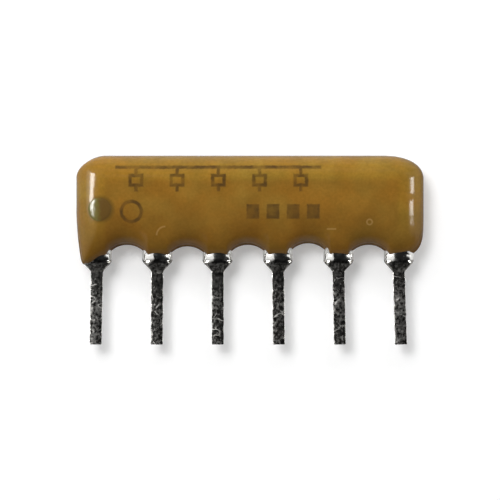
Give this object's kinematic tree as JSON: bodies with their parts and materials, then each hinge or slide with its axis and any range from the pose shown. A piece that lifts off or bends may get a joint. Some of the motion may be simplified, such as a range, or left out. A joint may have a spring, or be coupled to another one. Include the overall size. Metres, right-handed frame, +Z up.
{
  "type": "resistor network",
  "caption": "Six-pin single in-line resistor network with an ochre dipped epoxy body, solder collars and flat tinned pins.",
  "frame": {"origin": "middle of the part's footprint, on the surface that its back lies on", "axes": "+X along the row of pins from pin 1 to pin 6, +Y from the pins to the body's top edge, +Z up out of the marked face"},
  "size_m": [0.0146, 0.008, 0.0022],
  "materials": {
    "coat": "gloss",
    "ink": "gloss",
    "lead": "satin",
    "solder": "gloss",
    "alumina": "matt",
    "silver_film": "satin",
    "resistor_film": "matt",
    "glaze": "gloss"
  },
  "bodies": {
    "root": {"coating": "coat", "substrate": "alumina", "common_conductor": "silver_film", "glaze": "glaze", "pin_one_dot": "ink", "pad_2": "silver_film", "pad_3": "silver_film", "pad_4": "silver_film", "pad_5": "silver_film", "pad_6": "silver_film", "resistor_1": "resistor_film", "resistor_2": "resistor_film", "resistor_3": "resistor_film", "resistor_4": "resistor_film", "resistor_5": "resistor_film", "lead_1": "lead", "lead_2": "lead", "lead_3": "lead", "lead_4": "lead", "lead_5": "lead", "lead_6": "lead", "solder_1": "solder", "solder_2": "solder", "solder_3": "solder", "solder_4": "solder", "solder_5": "solder", "solder_6": "solder"}
  },
  "joints": []
}
